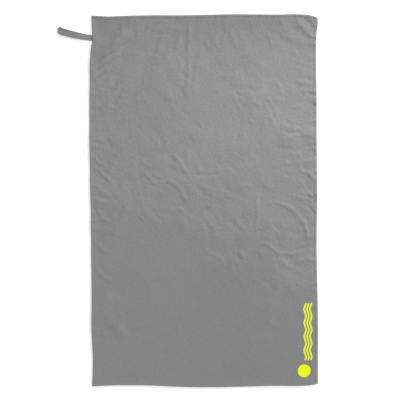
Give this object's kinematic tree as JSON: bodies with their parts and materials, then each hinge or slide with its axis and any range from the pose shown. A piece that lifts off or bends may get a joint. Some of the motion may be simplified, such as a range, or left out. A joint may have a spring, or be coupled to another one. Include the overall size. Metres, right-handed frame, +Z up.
{
  "type": "quick dry towel",
  "caption": "Thin rectangular microfibre towel laid flat, with narrow stitched hems, a side hanging loop of doubled tape and a plain printed motif near one corner.",
  "frame": {"origin": "on the floor under the middle of the whole object's footprint, loop included, so the towel's own middle is at x = +57.5 mm", "axes": "+Z up, out of the towel's printed face; +Y along the towel's length towards the hem next to the loop; the loop stands out towards -X"},
  "size_m": [0.915, 1.3, 0.0077],
  "materials": {
    "cloth": "brushed microfibre suede, mid grey, matt",
    "hem": "the same microfibre turned over and stitched down, slightly darker",
    "thread": "spun polyester sewing thread, grey",
    "tape": "woven ribbed tape, grey",
    "print": "heat-pressed fluorescent yellow-green film"
  },
  "bodies": {
    "lower_half": {"cloth_lower_half": "cloth", "hem_bottom": "hem", "hem_left_lower": "hem", "hem_right_lower": "hem", "stitches_bottom": "thread", "stitches_left_lower": "thread", "stitches_right_lower": "thread", "print_disc": "print", "print_wave_1": "print", "print_wave_2": "print", "print_wave_3": "print"},
    "upper_half": {"cloth_upper_half": "cloth", "hem_top": "hem", "hem_left_upper": "hem", "hem_right_upper": "hem", "stitches_top": "thread", "stitches_left_upper": "thread", "stitches_right_upper": "thread", "loop_tape_ends": "tape", "loop_bar_tack": "thread"},
    "loop": {"hanging_loop": "tape"}
  },
  "joints": [
    {"name": "fold_in_half", "type": "hinge", "parent": "lower_half", "child": "upper_half", "pos_m": [0.0575, 0, 0.0077], "axis": [1, 0, 0], "range_deg": [0, 180]},
    {"name": "loop_swing", "type": "hinge", "parent": "upper_half", "child": "loop", "pos_m": [-0.34985, 0.57, 0.00585], "axis": [0, 1, 0], "range_deg": [0, 180]}
  ]
}
